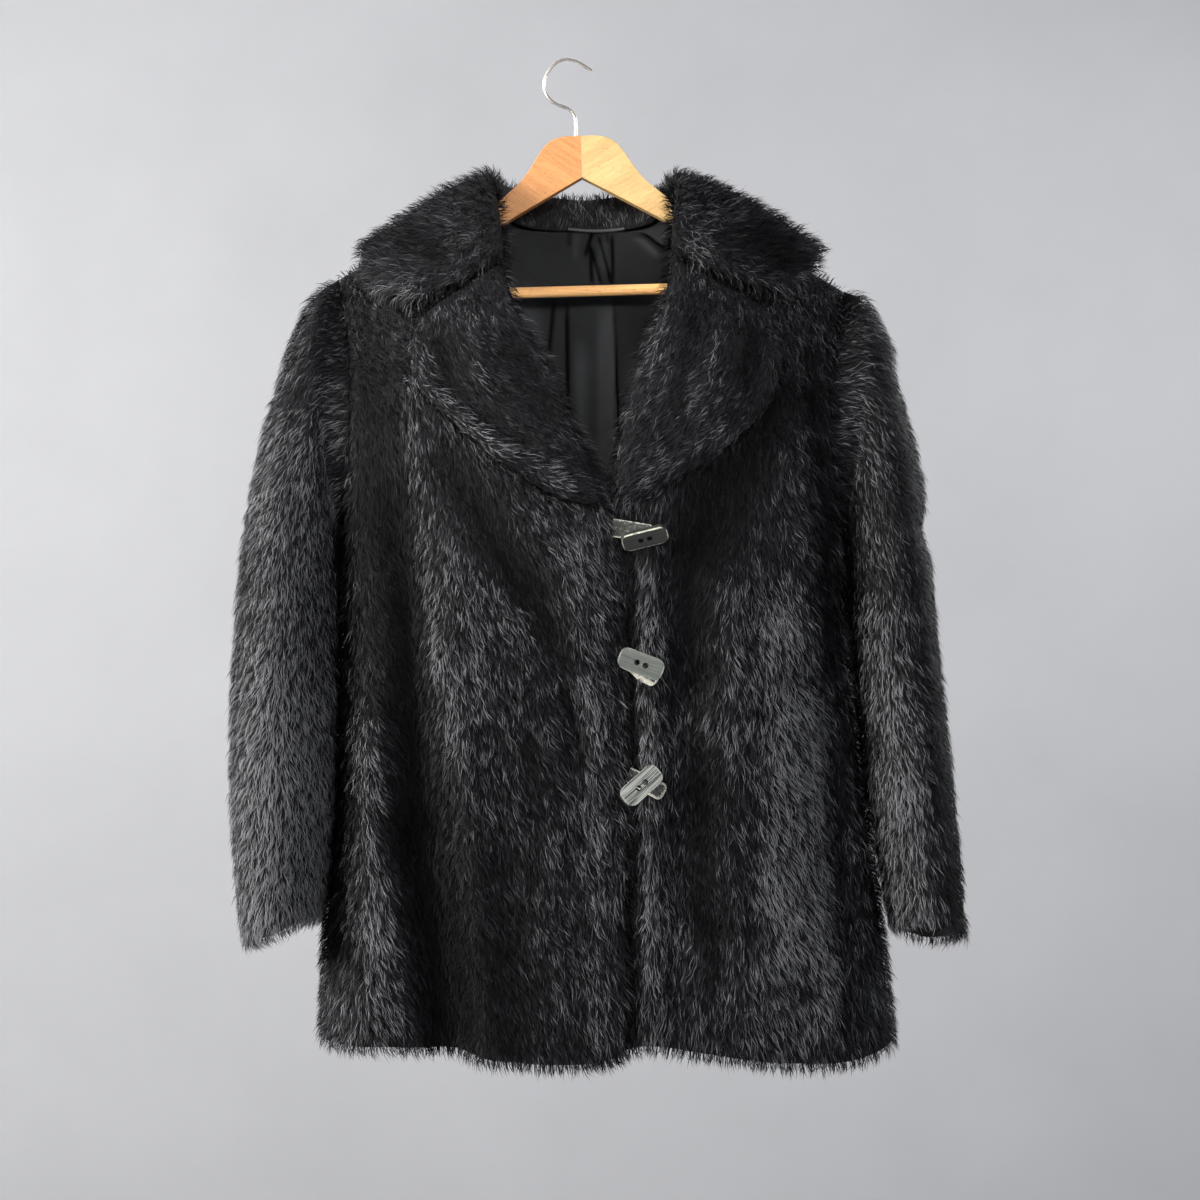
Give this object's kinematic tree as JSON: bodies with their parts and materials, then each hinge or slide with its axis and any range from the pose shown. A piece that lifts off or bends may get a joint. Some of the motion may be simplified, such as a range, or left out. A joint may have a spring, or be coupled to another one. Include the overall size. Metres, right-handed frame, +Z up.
{
  "type": "faux fur coat on a clothes hanger",
  "caption": "Hip-length faux fur coat with notched collar, wide rounded lapels, toggle closing and satin lining, hung closed on a wooden clothes hanger with a wire hook",
  "frame": {"origin": "the inner top of the wire hook's bend, where the hook rests on its rail or wall hook", "axes": "X is the viewer's right as the coat is seen from its front, -Y points out of the coat's front, +Z is up; right and left in node names are the wearer's"},
  "size_m": [0.652, 0.1847, 0.9094],
  "materials": {
    "fur": "long black faux fur pile with grey tips, lying downwards",
    "lining": "dark grey satin",
    "cord": "dark braided cord",
    "horn": "grey horn look, streaked lengthwise, satin gloss",
    "thread": "black sewing thread",
    "leather": "black leather look with pale worn edges",
    "wood_orange": "lacquered beech, warm orange",
    "wood_yellow": "lacquered beech, paler yellow",
    "wire": "bright plated wire"
  },
  "bodies": {
    "root": {"back": "fur", "collar": "fur", "front_left": "fur", "front_right": "fur", "hang_loop": "cord", "hanger_bar": "wood_orange", "hanger_half_left": "wood_yellow", "hanger_half_right": "wood_orange", "hanger_hook": "wire", "lapel_left": "fur", "lapel_right": "fur", "lining_back": "lining", "sleeve_left": "fur", "sleeve_lining_left": "lining", "sleeve_lining_right": "lining", "sleeve_right": "fur", "toggle_1": "horn", "toggle_2": "horn", "toggle_3": "horn", "toggle_loop_1": "leather", "toggle_loop_2": "leather", "toggle_loop_3": "leather", "toggle_thread_1": "thread", "toggle_thread_2": "thread", "toggle_thread_3": "thread"}
  },
  "joints": []
}
